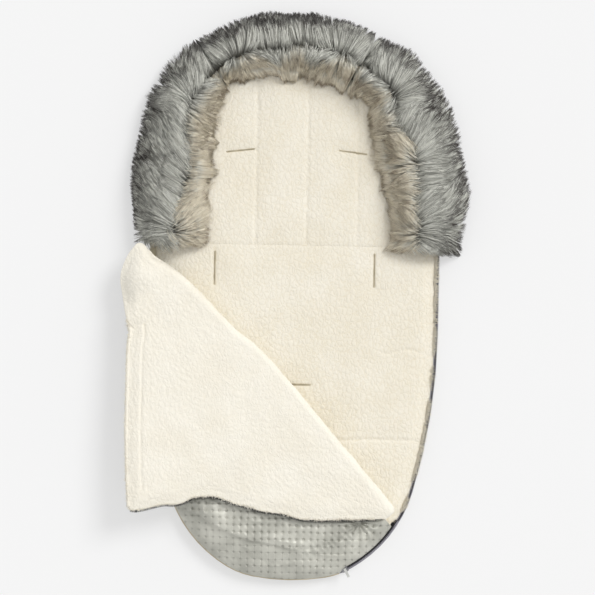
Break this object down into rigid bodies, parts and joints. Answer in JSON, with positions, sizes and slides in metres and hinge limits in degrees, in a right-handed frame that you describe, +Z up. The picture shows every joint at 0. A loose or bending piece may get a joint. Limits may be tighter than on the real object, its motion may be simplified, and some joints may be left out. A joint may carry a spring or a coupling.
{
  "type": "stroller footmuff",
  "caption": "Padded stroller footmuff with a fur-trimmed head section, pile lining, harness slots and a zip-off front cover folded back along a diagonal.",
  "frame": {"origin": "centre of the flat underside that the footmuff lies on", "axes": "+X to the side of the zip, +Y to the head end, +Z up through the pile lining"},
  "size_m": [0.5821, 0.9418, 0.0755],
  "materials": {
    "outer_shell": "satin quilted outer fabric",
    "pile_lining": "curly pile",
    "wadding": "loose fibre filling",
    "fur": "long pile with pale middle and dark tips",
    "slot_binding": "woven binding",
    "seam_tape": "woven tape",
    "zip_tape": "woven zip tape and coil",
    "zip_metal": "satin metal",
    "zip_puller": "moulded tab"
  },
  "bodies": {
    "root": {"back_shell": "outer_shell", "back_wadding": "wadding", "back_lining": "pile_lining", "hood_shell": "outer_shell", "hood_wadding": "wadding", "hood_lining": "pile_lining", "slot_binding_shoulder_left": "slot_binding", "slot_binding_shoulder_right": "slot_binding", "slot_binding_waist_left": "slot_binding", "slot_binding_waist_right": "slot_binding", "slot_binding_crotch": "slot_binding", "fur_left": "fur", "fur_top": "fur", "fur_right": "fur", "fur_seam_tape": "seam_tape", "foot_cover_shell": "outer_shell", "foot_cover_wadding": "wadding", "foot_cover_lining": "pile_lining", "side_seam": "seam_tape", "cover_fold_roll": "pile_lining", "fold_gusset": "pile_lining", "zip_tape_back": "zip_tape", "zip_coil_back": "zip_tape", "zip_tape_foot": "zip_tape", "zip_coil_foot": "zip_tape", "zip_bottom_stop": "zip_metal", "zip_top_stop_back": "zip_metal"},
    "cover_flap": {"flap_shell": "outer_shell", "flap_wadding": "wadding", "flap_lining": "pile_lining", "flap_hem_binding": "pile_lining", "zip_tape_flap": "zip_tape", "zip_coil_flap": "zip_tape", "zip_top_stop_flap": "zip_metal"},
    "zip_slider": {"zip_slider": "zip_metal"},
    "zip_puller": {"zip_puller": "zip_puller"}
  },
  "joints": [
    {"name": "cover_fold", "type": "hinge", "parent": "root", "child": "cover_flap", "pos_m": [0.1738, -0.368, 0.045], "axis": [-0.6521, 0.7581, 0], "range_deg": [0, 177]},
    {"name": "zip_travel", "type": "hinge", "parent": "root", "child": "zip_slider", "pos_m": [-0.00578, -0.26549, 0.02269], "axis": [0, 0, 1], "range_deg": [0, 37]},
    {"name": "zip_pull", "type": "hinge", "parent": "zip_slider", "child": "zip_puller", "pos_m": [0.09286, -0.45337, 0.02629], "axis": [-0.8854, -0.4648, 0], "range_deg": [0, 130]}
  ]
}
